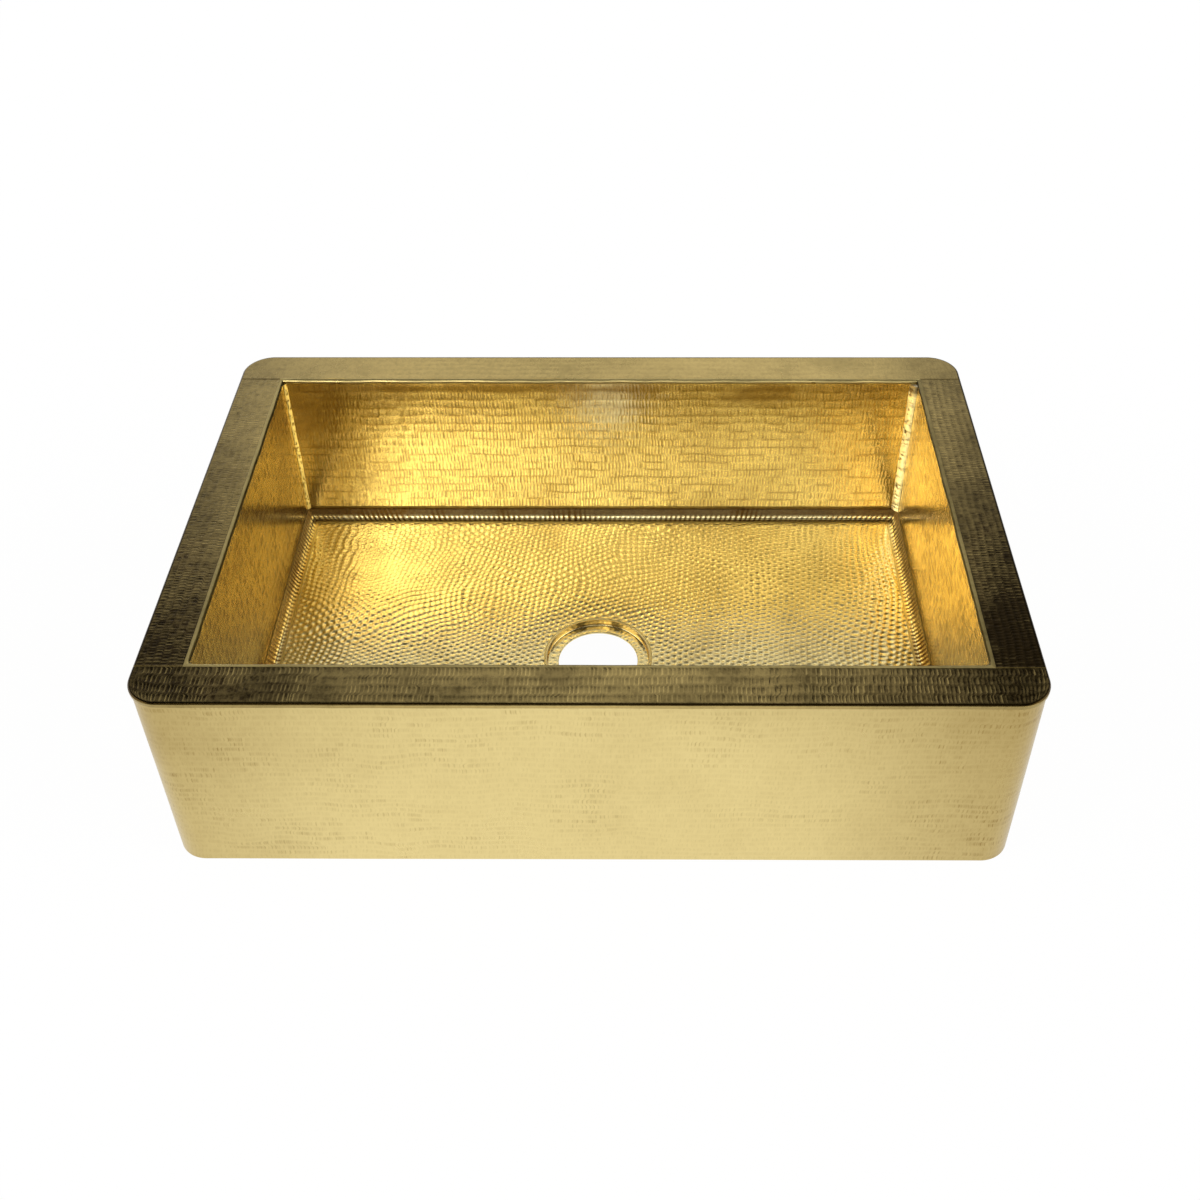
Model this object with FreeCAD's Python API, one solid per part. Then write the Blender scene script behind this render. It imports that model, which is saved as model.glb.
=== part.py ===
import FreeCAD, Part
import os
from FreeCAD import Vector

# Apron front sink, welded from hammered brass sheet.
# Millimetres. Origin at the centre of the base, +X to the right, +Z up, the apron faces -Y.

# Driving dimensions: outside
WIDTH = 838.2
DEPTH = 558.8
HEIGHT = 228.6
CORNER_RADIUS = 33.0
SHEET = 1.6

# Rim: four strips with a turned-down lip
RIM_WIDTH = 50.8
LIP_HEIGHT = 5.0
LIP_ROUND = 2.5
RIM_SEAM = 1.6

# Dressed bead between rim and bowl walls
BEAD = 4.2
BEAD_ROUND = 3.4
MOUTH_CORNER_RADIUS = 6.0

# Bowl
FLOOR_HEIGHT = 25.4
COVE_RADIUS = 12.0
FLOOR_SEAM = 2.4
WALL_SEAM = 2.4
CORNER_WELD_LEG = 4.0

# Drain opening with its stepped cup
DRAIN_Y = -18.0
DRAIN_RADIUS = 44.45
CUP_RADIUS = 57.15
CUP_DEPTH = 7.5
CUP_BEND = 1.2
CUP_WELD = 2.0
CUP_WELD_CROWN = 0.4

# Outer shell
APRON_RETURN = 64.0
SHELL_SEAM = 2.4
FLANGE_WIDTH = 19.0

# Bearers under the bowl floor
BEARER_WIDTH = 40.0
BEARER_SPACING = 400.0
BEARER_END_GAP = 2.0

# Derived levels
RIM_UNDERSIDE = HEIGHT - SHEET
BEAD_UNDERSIDE = HEIGHT - BEAD
FLOOR_UNDERSIDE = FLOOR_HEIGHT - SHEET
COVE_TOP = FLOOR_HEIGHT + COVE_RADIUS
WALL_BOTTOM = COVE_TOP + WALL_SEAM
LEDGE_TOP = FLOOR_HEIGHT - CUP_DEPTH

# Derived plan sizes, as half lengths
MOUTH_X = WIDTH / 2 - RIM_WIDTH
MOUTH_Y = DEPTH / 2 - RIM_WIDTH
SHELL_X = WIDTH / 2 - SHEET
SHELL_Y = DEPTH / 2 - SHEET
SHELL_RADIUS = CORNER_RADIUS - SHEET
SIDE_SEAM_Y = DEPTH / 2 - APRON_RETURN

# Reach of the cutting blocks past the object
CUT_MARGIN = 10.0

SIDES = ("front", "back", "left", "right")
CORNERS = (("front_left", -1, -1), ("front_right", 1, -1), ("back_left", -1, 1), ("back_right", 1, 1))


def block(x_range, y_range, z_range):
    """Box between two values on each axis."""
    size = [high - low for low, high in (x_range, y_range, z_range)]
    corner = Vector(x_range[0], y_range[0], z_range[0])
    return Part.makeBox(size[0], size[1], size[2], corner)


def centred_block(half_x, half_y, z_range):
    """Box centred on the Z axis."""
    return block((-half_x, half_x), (-half_y, half_y), z_range)


def upright_edges(shape):
    """Edges that run along Z."""
    return [edge for edge in shape.Edges if edge.BoundBox.XLength < 0.01 and edge.BoundBox.YLength < 0.01]


def edges_at_level(shape, level):
    """Edges that lie in the plane z = level."""
    return [edge for edge in shape.Edges
            if abs(edge.BoundBox.ZMin - level) < 0.01 and abs(edge.BoundBox.ZMax - level) < 0.01]


def rounded_block(half_x, half_y, radius, z_range):
    """Centred box with its four upright edges rounded."""
    box = centred_block(half_x, half_y, z_range)
    return box.makeFillet(radius, upright_edges(box))


def prism(points, z_range):
    """Upright prism over a plan outline."""
    low, high = z_range
    corners = [Vector(x, y, low) for x, y in points]
    outline = Part.makePolygon(corners + [corners[0]])
    return Part.Face(outline).extrude(Vector(0, 0, high - low))


def side_sector(side):
    """Prism that takes one side out of a ring round the bowl, cut at 45 degrees at its corners."""
    out_x = WIDTH / 2 + CUT_MARGIN
    out_y = DEPTH / 2 + CUT_MARGIN
    reach = MOUTH_Y
    in_x = MOUTH_X - reach
    in_y = MOUTH_Y - reach
    grow = RIM_WIDTH + CUT_MARGIN
    long_side = [(-MOUTH_X - grow, -out_y), (MOUTH_X + grow, -out_y), (in_x, -in_y), (-in_x, -in_y)]
    short_side = [(-out_x, -MOUTH_Y - grow), (-in_x, -in_y), (-in_x, in_y), (-out_x, MOUTH_Y + grow)]
    outlines = {
        "front": long_side,
        "back": [(x, -y) for x, y in long_side],
        "left": short_side,
        "right": [(-x, y) for x, y in short_side],
    }
    return prism(outlines[side], (-CUT_MARGIN, HEIGHT + CUT_MARGIN))


def band(low_y, high_y):
    """Block across the whole width between two values of y."""
    return block((-WIDTH, WIDTH), (low_y, high_y), (-CUT_MARGIN, HEIGHT + CUT_MARGIN))


def half_space(sign):
    """Block on the left (-1) or right (+1) of the object's centre."""
    low = min(0, sign * WIDTH)
    high = max(0, sign * WIDTH)
    return block((low, high), (-DEPTH, DEPTH), (-CUT_MARGIN, HEIGHT + CUT_MARGIN))


def export(name, shape):
    """Write one piece to its own file."""
    shape.exportStep("parts/" + name + ".step")


def split_ring(ring, seam_y, seam_width, names):
    """Cut a ring into front and back pieces, two sides between them and four seam welds.

    seam_y is the inner edge of the front and back pieces, and the welds lie inside it."""
    inner_y = seam_y - seam_width
    far = DEPTH
    export(names["front"], ring.common(band(-far, -seam_y)))
    export(names["back"], ring.common(band(seam_y, far)))
    sides = ring.common(band(-inner_y, inner_y))
    export(names["left"], sides.common(half_space(-1)))
    export(names["right"], sides.common(half_space(1)))
    for corner, sign_x, sign_y in CORNERS:
        low, high = sorted((sign_y * inner_y, sign_y * seam_y))
        seams = ring.common(band(low, high))
        export(names["seam"] + corner, seams.common(half_space(sign_x)))


def make_rim():
    """Rim strips: flat sheet with a rounded outer edge turned down as a lip."""
    plate = rounded_block(WIDTH / 2, DEPTH / 2, CORNER_RADIUS, (HEIGHT - LIP_HEIGHT, HEIGHT))
    plate = plate.makeFillet(LIP_ROUND, edges_at_level(plate, HEIGHT))
    pocket = rounded_block(SHELL_X, SHELL_Y, SHELL_RADIUS, (HEIGHT - LIP_HEIGHT, RIM_UNDERSIDE))
    mouth = centred_block(MOUTH_X + BEAD, MOUTH_Y + BEAD, (0, HEIGHT))
    ring = plate.cut(pocket).cut(mouth)
    names = {side: "rim_" + side for side in SIDES}
    names["seam"] = "rim_seam_"
    split_ring(ring, MOUTH_Y + BEAD, RIM_SEAM, names)


def make_mouth_beads():
    """Smooth bead round the mouth: square outside, rounded towards the bowl."""
    opening = centred_block(MOUTH_X, MOUTH_Y, (BEAD_UNDERSIDE, HEIGHT))
    front_corners = [edge for edge in upright_edges(opening) if edge.BoundBox.YMax < 0]
    opening = opening.makeFillet(MOUTH_CORNER_RADIUS, front_corners)
    ring = centred_block(MOUTH_X + BEAD, MOUTH_Y + BEAD, (BEAD_UNDERSIDE, HEIGHT)).cut(opening)
    inner_top = [edge for edge in edges_at_level(ring, HEIGHT)
                 if abs(edge.CenterOfMass.x) < MOUTH_X + BEAD / 2
                 and abs(edge.CenterOfMass.y) < MOUTH_Y + BEAD / 2]
    ring = ring.makeFillet(BEAD_ROUND, inner_top)
    for side in SIDES:
        export("mouth_bead_" + side, ring.common(side_sector(side)))


def make_walls():
    """Four upright sheets: front and back run past the ends of the left and right ones."""
    height = (WALL_BOTTOM, BEAD_UNDERSIDE)
    out_x = MOUTH_X + SHEET
    out_y = MOUTH_Y + SHEET
    export("bowl_wall_front", block((-out_x, out_x), (-out_y, -MOUTH_Y), height))
    export("bowl_wall_back", block((-out_x, out_x), (MOUTH_Y, out_y), height))
    export("bowl_wall_left", block((-out_x, -MOUTH_X), (-MOUTH_Y, MOUTH_Y), height))
    export("bowl_wall_right", block((MOUTH_X, out_x), (-MOUTH_Y, MOUTH_Y), height))


def make_corner_welds():
    """Weld bead down each inside corner of the bowl."""
    for corner, sign_x, sign_y in CORNERS:
        x = sign_x * MOUTH_X
        y = sign_y * MOUTH_Y
        outline = [(x, y), (x - sign_x * CORNER_WELD_LEG, y), (x, y - sign_y * CORNER_WELD_LEG)]
        export("corner_weld_" + corner, prism(outline, (COVE_TOP, BEAD_UNDERSIDE)))


def make_coves():
    """Quarter-round strips between the floor sheet and the walls, mitred at the corners."""
    above = COVE_TOP + CUT_MARGIN
    outside = centred_block(MOUTH_X + SHEET, MOUTH_Y + SHEET, (FLOOR_UNDERSIDE, above))
    outside = outside.makeFillet(COVE_RADIUS + SHEET, edges_at_level(outside, FLOOR_UNDERSIDE))
    inside = centred_block(MOUTH_X, MOUTH_Y, (FLOOR_HEIGHT, above))
    inside = inside.makeFillet(COVE_RADIUS, edges_at_level(inside, FLOOR_HEIGHT))
    flat = centred_block(MOUTH_X - COVE_RADIUS, MOUTH_Y - COVE_RADIUS, (0, HEIGHT))
    trim = centred_block(WIDTH, DEPTH, (COVE_TOP, above))
    ring = outside.cut(inside).cut(flat).cut(trim)
    for side in SIDES:
        export("cove_" + side, ring.common(side_sector(side)))
    wall_weld = centred_block(MOUTH_X + SHEET, MOUTH_Y + SHEET, (COVE_TOP, WALL_BOTTOM))
    export("cove_weld", wall_weld.cut(centred_block(MOUTH_X, MOUTH_Y, (COVE_TOP, WALL_BOTTOM))))


def make_floor():
    """Flat floor sheet with the hole for the drain cup, and the weld round its edge."""
    level = (FLOOR_UNDERSIDE, FLOOR_HEIGHT)
    seam_x = MOUTH_X - COVE_RADIUS
    seam_y = MOUTH_Y - COVE_RADIUS
    sheet = centred_block(seam_x - FLOOR_SEAM, seam_y - FLOOR_SEAM, level)
    hole_radius = CUP_RADIUS + SHEET + CUP_WELD
    hole = Part.makeCylinder(hole_radius, SHEET, Vector(0, DRAIN_Y, FLOOR_UNDERSIDE))
    export("bowl_floor", sheet.cut(hole))
    export("floor_weld", centred_block(seam_x, seam_y, level).cut(sheet))


def revolved(points):
    """Solid turned about the drain's axis from (radius, z) points."""
    corners = [Vector(radius, DRAIN_Y, z) for radius, z in points]
    outline = Part.makePolygon(corners + [corners[0]])
    return Part.Face(outline).revolve(Vector(0, DRAIN_Y, 0), Vector(0, 0, 1), 360)


def make_drain():
    """Stepped cup that takes the strainer's flange, with the bore and the weld to the floor."""
    outer = CUP_RADIUS + SHEET
    ledge_underside = LEDGE_TOP - SHEET
    cup = revolved([(DRAIN_RADIUS, ledge_underside), (outer, ledge_underside), (outer, FLOOR_HEIGHT),
                    (CUP_RADIUS, FLOOR_HEIGHT), (CUP_RADIUS, LEDGE_TOP), (DRAIN_RADIUS, LEDGE_TOP)])
    inside_bend = [edge for edge in edges_at_level(cup, LEDGE_TOP) if edge.BoundBox.XMax > CUP_RADIUS - 0.01]
    cup = cup.makeFillet(CUP_BEND, inside_bend)
    outside_bend = [edge for edge in edges_at_level(cup, ledge_underside) if edge.BoundBox.XMax > outer - 0.01]
    cup = cup.makeFillet(CUP_BEND + SHEET, outside_bend)
    export("drain_cup", cup)
    weld_outer = outer + CUP_WELD
    crown = FLOOR_HEIGHT + CUP_WELD_CROWN
    inset = CUP_WELD / 4
    weld = revolved([(outer, FLOOR_UNDERSIDE), (weld_outer, FLOOR_UNDERSIDE), (weld_outer, FLOOR_HEIGHT),
                     (weld_outer - inset, crown), (outer + inset, crown), (outer, FLOOR_HEIGHT)])
    export("drain_weld", weld)


def make_shell():
    """Outer shell: apron and back sheet wrap the corners, side sheets butt between them."""
    height = (0, RIM_UNDERSIDE)
    outside = rounded_block(SHELL_X, SHELL_Y, SHELL_RADIUS, height)
    inside = rounded_block(SHELL_X - SHEET, SHELL_Y - SHEET, SHELL_RADIUS - SHEET, height)
    names = {"front": "front_apron", "back": "back_panel", "left": "side_panel_left",
             "right": "side_panel_right", "seam": "shell_seam_"}
    split_ring(outside.cut(inside), SIDE_SEAM_Y, SHELL_SEAM, names)


def make_base_flange():
    """Flat strips inside the shell's lower edge, mitred at the corners."""
    height = (0, SHEET)
    inside_x = SHELL_X - SHEET
    inside_y = SHELL_Y - SHEET
    radius = SHELL_RADIUS - SHEET
    outside = rounded_block(inside_x, inside_y, radius, height)
    hollow = rounded_block(inside_x - FLANGE_WIDTH, inside_y - FLANGE_WIDTH, radius - FLANGE_WIDTH, height)
    ring = outside.cut(hollow)
    for side in SIDES:
        export("base_flange_" + side, ring.common(side_sector(side)))


def make_bearers():
    """Channels open downwards, from flange to flange under the floor."""
    half_length = SHELL_Y - SHEET - BEARER_END_GAP
    half_width = BEARER_WIDTH / 2
    for side, sign in (("left", -1), ("right", 1)):
        x = sign * BEARER_SPACING / 2
        outside = block((x - half_width, x + half_width), (-half_length, half_length),
                        (SHEET, FLOOR_UNDERSIDE))
        hollow = block((x - half_width + SHEET, x + half_width - SHEET), (-half_length, half_length),
                       (SHEET, FLOOR_UNDERSIDE - SHEET))
        export("floor_bearer_" + side, outside.cut(hollow))


os.makedirs("parts", exist_ok=True)
make_rim()
make_mouth_beads()
make_walls()
make_corner_welds()
make_coves()
make_floor()
make_drain()
make_shell()
make_base_flange()
make_bearers()
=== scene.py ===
import math

import bpy
import numpy as np
from mathutils import Matrix


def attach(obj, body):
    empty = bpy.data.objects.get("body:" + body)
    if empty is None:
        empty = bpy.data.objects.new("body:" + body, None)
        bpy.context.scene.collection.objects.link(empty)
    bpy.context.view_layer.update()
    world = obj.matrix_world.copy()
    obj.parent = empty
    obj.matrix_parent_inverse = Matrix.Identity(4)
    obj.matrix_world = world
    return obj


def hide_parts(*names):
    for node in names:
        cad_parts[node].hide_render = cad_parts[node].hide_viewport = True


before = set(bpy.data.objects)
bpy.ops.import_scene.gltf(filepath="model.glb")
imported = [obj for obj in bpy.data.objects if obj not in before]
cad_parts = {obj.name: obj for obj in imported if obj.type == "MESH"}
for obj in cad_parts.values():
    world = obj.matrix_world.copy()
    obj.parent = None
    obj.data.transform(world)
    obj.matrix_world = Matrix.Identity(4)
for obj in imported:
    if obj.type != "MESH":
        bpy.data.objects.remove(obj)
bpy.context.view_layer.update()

# Apron front sink in hand-hammered brass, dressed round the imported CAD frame.
# Each sheet starts as a flat blank, is hammered flat, and is then folded to its place.

MM = 0.001
NEAR = 1e-6                 # metres within which two places count as one

# ---------------- sizes of the sink, as in the CAD source
WIDTH = 838.2 * MM
DEPTH = 558.8 * MM
HEIGHT = 228.6 * MM
CORNER_RADIUS = 33.0 * MM
SHEET = 1.6 * MM
RIM_WIDTH = 50.8 * MM
LIP_HEIGHT = 5.0 * MM
LIP_ROUND = 2.5 * MM
RIM_SEAM = 1.6 * MM
BEAD = 4.2 * MM
BEAD_ROUND = 2.2 * MM
MOUTH_CORNER_RADIUS = 6.0 * MM
BEAD_RINGS = 90
FLOOR_HEIGHT = 25.4 * MM
COVE_RADIUS = 12.0 * MM
FLOOR_SEAM = 2.4 * MM
WALL_SEAM = 2.4 * MM
DRAIN_Y = -18.0 * MM
DRAIN_RADIUS = 44.45 * MM
CUP_RADIUS = 57.15 * MM
CUP_DEPTH = 7.5 * MM
CUP_WELD = 2.0 * MM
CUP_WELD_CROWN = 0.4 * MM
APRON_RETURN = 64.0 * MM
SHELL_SEAM = 2.4 * MM

MOUTH_X = WIDTH / 2 - RIM_WIDTH
MOUTH_Y = DEPTH / 2 - RIM_WIDTH
RIM_INNER_X = MOUTH_X + BEAD
RIM_INNER_Y = MOUTH_Y + BEAD
BEAD_UNDERSIDE = HEIGHT - BEAD
COVE_TOP = FLOOR_HEIGHT + COVE_RADIUS
WALL_BOTTOM = COVE_TOP + WALL_SEAM
SHELL_X = WIDTH / 2 - SHEET
SHELL_TOP = HEIGHT - SHEET
SHELL_RADIUS = CORNER_RADIUS - SHEET
CORNER_X = WIDTH / 2 - CORNER_RADIUS
CORNER_Y = DEPTH / 2 - CORNER_RADIUS
SIDE_SEAM_Y = DEPTH / 2 - APRON_RETURN
LEDGE_TOP = FLOOR_HEIGHT - CUP_DEPTH

# ---------------- hammer marks, measured on the photograph
PEEN_MARK = 3.9 * MM        # width of one cross-peen mark
SIDE_MARK = 5.2 * MM        # the same on the left and right walls
PEEN_ROW = 11.4 * MM        # height of one row of marks
SHELL_ROW = 7.4 * MM        # the shell's rows are lower and less straight
BLOWS = (0.35, 1.0)         # depth of a weak and of a hard blow, as a share of the depth given for the sheet
MISSED = 0.12               # share of the blows that barely mark the sheet
LEAN = (0.36, 0.64)         # where across its width a mark may be deepest
STROKE = 0.21               # width of the dark stroke beside a ridge, as a share of one mark
STROKE_REACH = 0.8          # how far it runs from a row's middle towards the row's edges
TROUGH = 0.09               # depth of the trough that a whole row makes, as a share of a mark's depth
BALL_MARK = 7.5 * MM        # spacing of the ball-peen marks on the floor
BALL_DEPTH = 0.75 * MM      # depth of a hard ball-peen blow
FLOOR_DIP = 1.1 * MM        # how far the floor sheet is drawn down to the recess
COVE_FACET = 6.4 * MM       # length of one dished facet along a cove
COVE_DISH = 0.38 * MM       # depth of the dish
SHEET_WAVE = 0.35 * MM      # slow waviness that hammering leaves in thin sheet

# Profile of the coves: distance from the wall and height above the floor in mm. The peened facets lie
# between the two of its points that STRUCK_FACET counts out.
COVE_PROFILE = ((0, 12), (0.2, 10.4), (5.0, 3.1), (7.7, 0.4), (8.7, 0.05), (12, 0))
STRUCK_FACET = (2, 3)

# How the sheets are hammered in rows: width and height of a mark, depth of a hard blow, how far the rows
# wander as a share of their height, and the patina that stays: least share of the strokes, in whole marks,
# between the rows.
LONG_WALLS = {"pitch": (PEEN_MARK, PEEN_ROW), "depth": 0.2 * MM, "wander": 0.34,
              "patina_share": 0.85, "whole_marks": 0.1, "between_rows": 0.85}
SHORT_WALLS = {"pitch": (SIDE_MARK, PEEN_ROW), "depth": 0.2 * MM, "wander": 0.34,
               "patina_share": 0.9, "whole_marks": 0.9, "between_rows": 0.3}
SHELL = {"pitch": (PEEN_MARK, SHELL_ROW), "depth": 0.11 * MM, "wander": 0.9,
         "patina_share": 0.3, "whole_marks": 0.15, "between_rows": 0.0}

# Headings along which a sheet's length runs. The hammered face looks along heading x up.
TO_RIGHT = (1, 0)
TO_LEFT = (-1, 0)
TO_BACK = (0, 1)
TO_FRONT = (0, -1)

# Corners of the sink, and which side of the middle each is on along X and Y
CORNERS = (("front_left", -1, -1), ("front_right", 1, -1), ("back_left", -1, 1), ("back_right", 1, 1))


# ---------------- working with meshes
def clear_selection():
    if bpy.context.object and bpy.context.object.mode != "OBJECT":
        bpy.ops.object.mode_set(mode="OBJECT")
    bpy.ops.object.select_all(action="DESELECT")


def named(name):
    piece = bpy.context.object
    piece.name = name
    piece.data.name = name
    return piece


def take_up(piece):
    """Make a piece the only selected one."""
    clear_selection()
    bpy.context.view_layer.objects.active = piece
    piece.select_set(True)


def points_of(piece):
    if piece.mode == "EDIT":
        bpy.ops.object.mode_set(mode="OBJECT")
    points = np.empty(len(piece.data.vertices) * 3)
    piece.data.vertices.foreach_get("co", points)
    return points.reshape(-1, 3)


def move_points(piece, points):
    piece.data.vertices.foreach_set("co", points.ravel())
    piece.data.update()


def pick(mesh, parts, picked):
    """Go into edit mode with only the picked edges or faces of the active piece selected."""
    for kind in (mesh.vertices, mesh.edges, mesh.polygons):
        kind.foreach_set("select", np.zeros(len(kind), dtype=bool))
    parts.foreach_set("select", picked)
    bpy.context.tool_settings.mesh_select_mode = (False, parts == mesh.edges, parts == mesh.polygons)
    bpy.ops.object.mode_set(mode="EDIT")


def edge_ends(mesh):
    ends = np.empty(len(mesh.edges) * 2, dtype=np.int64)
    mesh.edges.foreach_get("vertices", ends)
    return ends.reshape(-1, 2)


def pick_edges(piece, chosen):
    """Pick those edges whose two ends are both chosen."""
    take_up(piece)
    pick(piece.data, piece.data.edges, chosen[edge_ends(piece.data)].all(axis=1))


def pick_faces(piece, chosen):
    """Pick those faces whose centres are chosen."""
    take_up(piece)
    faces = piece.data.polygons
    centres = np.empty(len(faces) * 3)
    faces.foreach_get("center", centres)
    pick(piece.data, faces, chosen(centres.reshape(-1, 3)))


def pick_open_edges():
    bpy.context.tool_settings.mesh_select_mode = (False, True, False)
    bpy.ops.mesh.select_all(action="DESELECT")
    bpy.ops.mesh.select_non_manifold(extend=False, use_wire=False, use_boundary=True, use_multi_face=False,
                                     use_non_contiguous=False, use_verts=False)


def selected_points(piece):
    """Leave edit mode and say which points were selected in it."""
    bpy.ops.object.mode_set(mode="OBJECT")
    picked = np.empty(len(piece.data.vertices), dtype=bool)
    piece.data.vertices.foreach_get("select", picked)
    return picked


def turn_faces_out(piece):
    take_up(piece)
    bpy.ops.object.mode_set(mode="EDIT")
    bpy.ops.mesh.select_all(action="SELECT")
    bpy.ops.mesh.normals_make_consistent(inside=False)
    bpy.ops.object.mode_set(mode="OBJECT")


def keep_patina_and_shade(piece, patina_and_shade):
    """Store how much each point darkens, from 0 to 1, for the brass to read: its patina, and on some pieces
    painted shade.
    """
    store = piece.data.attributes.new("patina_and_shade", "FLOAT", "POINT")
    store.data.foreach_set("value", np.clip(patina_and_shade, 0, 1).astype(np.float32))


def mount(piece, finish, slot, *nodes):
    """Smooth a finished piece, dress it and put it on the frame in place of its CAD nodes."""
    take_up(piece)
    bpy.ops.object.shade_smooth_by_angle(angle=math.radians(50))
    piece.data.materials.clear()
    piece.data.materials.append(finish)
    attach(piece, "root")
    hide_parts(*nodes)


# ---------------- hammering
def slow_noise(a, b, spacing, seed):
    """Smooth random surface from 0 to 1 over two coordinates, with bumps about one spacing apart."""
    table = np.random.RandomState(seed).rand(64, 64)
    ia, ib = np.floor(a / spacing).astype(int), np.floor(b / spacing).astype(int)
    fa, fb = a / spacing - ia, b / spacing - ib
    fa, fb = fa * fa * (3 - 2 * fa), fb * fb * (3 - 2 * fb)
    near = table[ia % 64, ib % 64] * (1 - fb) + table[ia % 64, (ib + 1) % 64] * fb
    far = table[(ia + 1) % 64, ib % 64] * (1 - fb) + table[(ia + 1) % 64, (ib + 1) % 64] * fb
    return near * (1 - fa) + far * fa


def noise_along(along, spacing, seed):
    """Smooth random line from 0 to 1, with bumps about one spacing apart."""
    return slow_noise(along, along * 0, spacing, seed)


def fade_in(distance, reach):
    """0 at an edge, rising smoothly to 1 at the reach."""
    share = np.clip(distance / reach, 0, 1)
    return share * share * (3 - 2 * share)


def row_marks(along, across, size, marks, rows, cuts, wander, seed):
    """Cross-peen marks side by side in rows over a blank. Gives each point's drift along and across, how
    deep in a mark and in a row it lies, how sharp a ridge between two marks it is on, and how dark its mark
    is. The grid has `cuts` columns and rows of faces to a mark, so ridges fall on it."""
    length, height = size
    rng = np.random.RandomState(seed)
    place = np.round((along / length + 0.5) * marks * cuts[0]) / cuts[0]
    level = np.round((across / height + 0.5) * rows * cuts[1]) / cuts[1]
    mark, row = np.floor(place).astype(int), np.floor(level).astype(int)
    in_mark, in_row = place - mark, level - row
    strength = rng.uniform(*BLOWS, (rows + 1, marks + 1))
    strength[rng.rand(rows + 1, marks + 1) < MISSED] *= 0.25
    lean = rng.uniform(*LEAN, (rows + 1, marks + 1))[row, mark]
    side = np.where(in_mark < lean, (lean - in_mark) / lean, (in_mark - lean) / (1 - lean))
    from_middle = np.abs(2 * in_row - 1)
    hollow = strength[row, mark] * (1 - side ** 2) * (1 - from_middle ** 3)
    trough = 1 - from_middle ** 2
    worn = rng.rand(rows + 1, marks + 1)[row, mark]
    ridge = (0.25 + 0.75 * worn) * (in_mark < STROKE) * (from_middle < STROKE_REACH)
    dark = fade_in(rng.rand(rows + 1, marks + 1)[row, mark] - 0.45, 0.4) * (from_middle < STROKE_REACH)
    offsets = rng.uniform(-0.5, 0.5, rows + 2)
    offset = np.where(in_row < 1e-6, (offsets[row] + offsets[row + 1]) / 2, offsets[row + 1])
    drift = offset + (slow_noise(along, row * 1.0, 9 * MM, seed + 1) - 0.5) * 1.1
    drift = drift * length / marks * fade_in(length / 2 - np.abs(along), 8 * MM)
    sway = (slow_noise(along, across, 38 * MM, seed + 2) - 0.5) * wander * height / rows
    sway = sway * fade_in(height / 2 - np.abs(across), 12 * MM)
    return drift, sway, hollow, trough, ridge, dark


def tick_patina(along, across, rows, height, hollow, ridge, dark, everywhere, between_rows, seed):
    """Patina left by hammering: strokes beside and in the marks, thick along some stretches of some rows
    and at least the given share elsewhere, and broken lines between one row and the next."""
    level = (across / height + 0.5) * rows
    row = np.floor(level + 1e-6)
    region = fade_in(slow_noise(along, across * 1.3, 55 * MM, seed) - 0.35, 0.4)
    stretch = fade_in(slow_noise(along, row * 0.37, 17 * MM, seed + 1) - 0.3, 0.5)
    share = everywhere + (1 - everywhere) * region * stretch
    broken = fade_in(slow_noise(along, row * 0.51, 21 * MM, seed + 2) - 0.3, 0.35)
    strokes = share * np.maximum(np.maximum(ridge, dark), 0.5 * fade_in(hollow - 0.4, 0.55))
    return np.maximum(strokes, between_rows * broken * (np.abs(level - np.round(level)) < 0.05))


def wall_dark_patches(along, across, height, drifts):
    """Darker patches under the mouth of the bowl, the one in the middle of the back wall painted shade, and a
    thin darker line along the wall's lower edge.
    """
    stain = 0.25 * fade_in(4 * MM - height / 2 - across, 4 * MM)
    for middle, below, half_length, half_height, strength in drifts:
        away = np.hypot((along - middle * MM) / (half_length * MM),
                        (across - height / 2 + below * MM) / (half_height * MM))
        ragged = away + 0.9 * (slow_noise(along, across * 2.0, 24 * MM, 19) - 0.5)
        stain = np.maximum(stain, strength * fade_in(1.1 - ragged, 0.9))
    return stain


def ball_marks(x, y, spacing, turn, seed):
    """Ball-peen marks packed like a honeycomb in wavy oblique rows: 1 in the middle of a dish, 0 where
    three meet."""
    sway, jitter = 24 * MM, 4.4 * MM
    bend_x = (x + (slow_noise(x, y, 90 * MM, seed) - 0.5) * sway
              + (slow_noise(x, y, 15 * MM, seed + 1) - 0.5) * jitter)
    bend_y = (y + (slow_noise(x, y, 80 * MM, seed + 2) - 0.5) * sway
              + (slow_noise(x, y, 15 * MM, seed + 3) - 0.5) * jitter)
    waves = 0
    for direction in (-60, 0, 60):
        heading = turn + math.radians(90 + direction)
        along = bend_x * math.cos(heading) + bend_y * math.sin(heading)
        waves = waves + np.cos(2 * math.pi * along / (spacing * math.cos(math.radians(30))))
    force = 0.75 + 0.4 * slow_noise(x, y, 9 * MM, seed + 4)
    return force * (waves + 1.5) / 4.5


def sheet_wave(along, across, seed):
    """Slow waviness of a hammered sheet, always into the sheet."""
    return SHEET_WAVE * (0.7 * slow_noise(along, across, 110 * MM, seed)
                         + 0.3 * slow_noise(along, across, 45 * MM, seed + 1))


# ---------------- flat blanks and how they fold
def flat_blank(name, size, columns, rows):
    """Flat blank with its good face up, centred on the origin: length along X, height along Y."""
    clear_selection()
    bpy.ops.mesh.primitive_grid_add(x_subdivisions=columns, y_subdivisions=rows, size=1)
    bpy.ops.transform.resize(value=(size[0], size[1], 1))
    bpy.ops.object.transform_apply(location=False, rotation=False, scale=True)
    return named(name)


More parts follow.
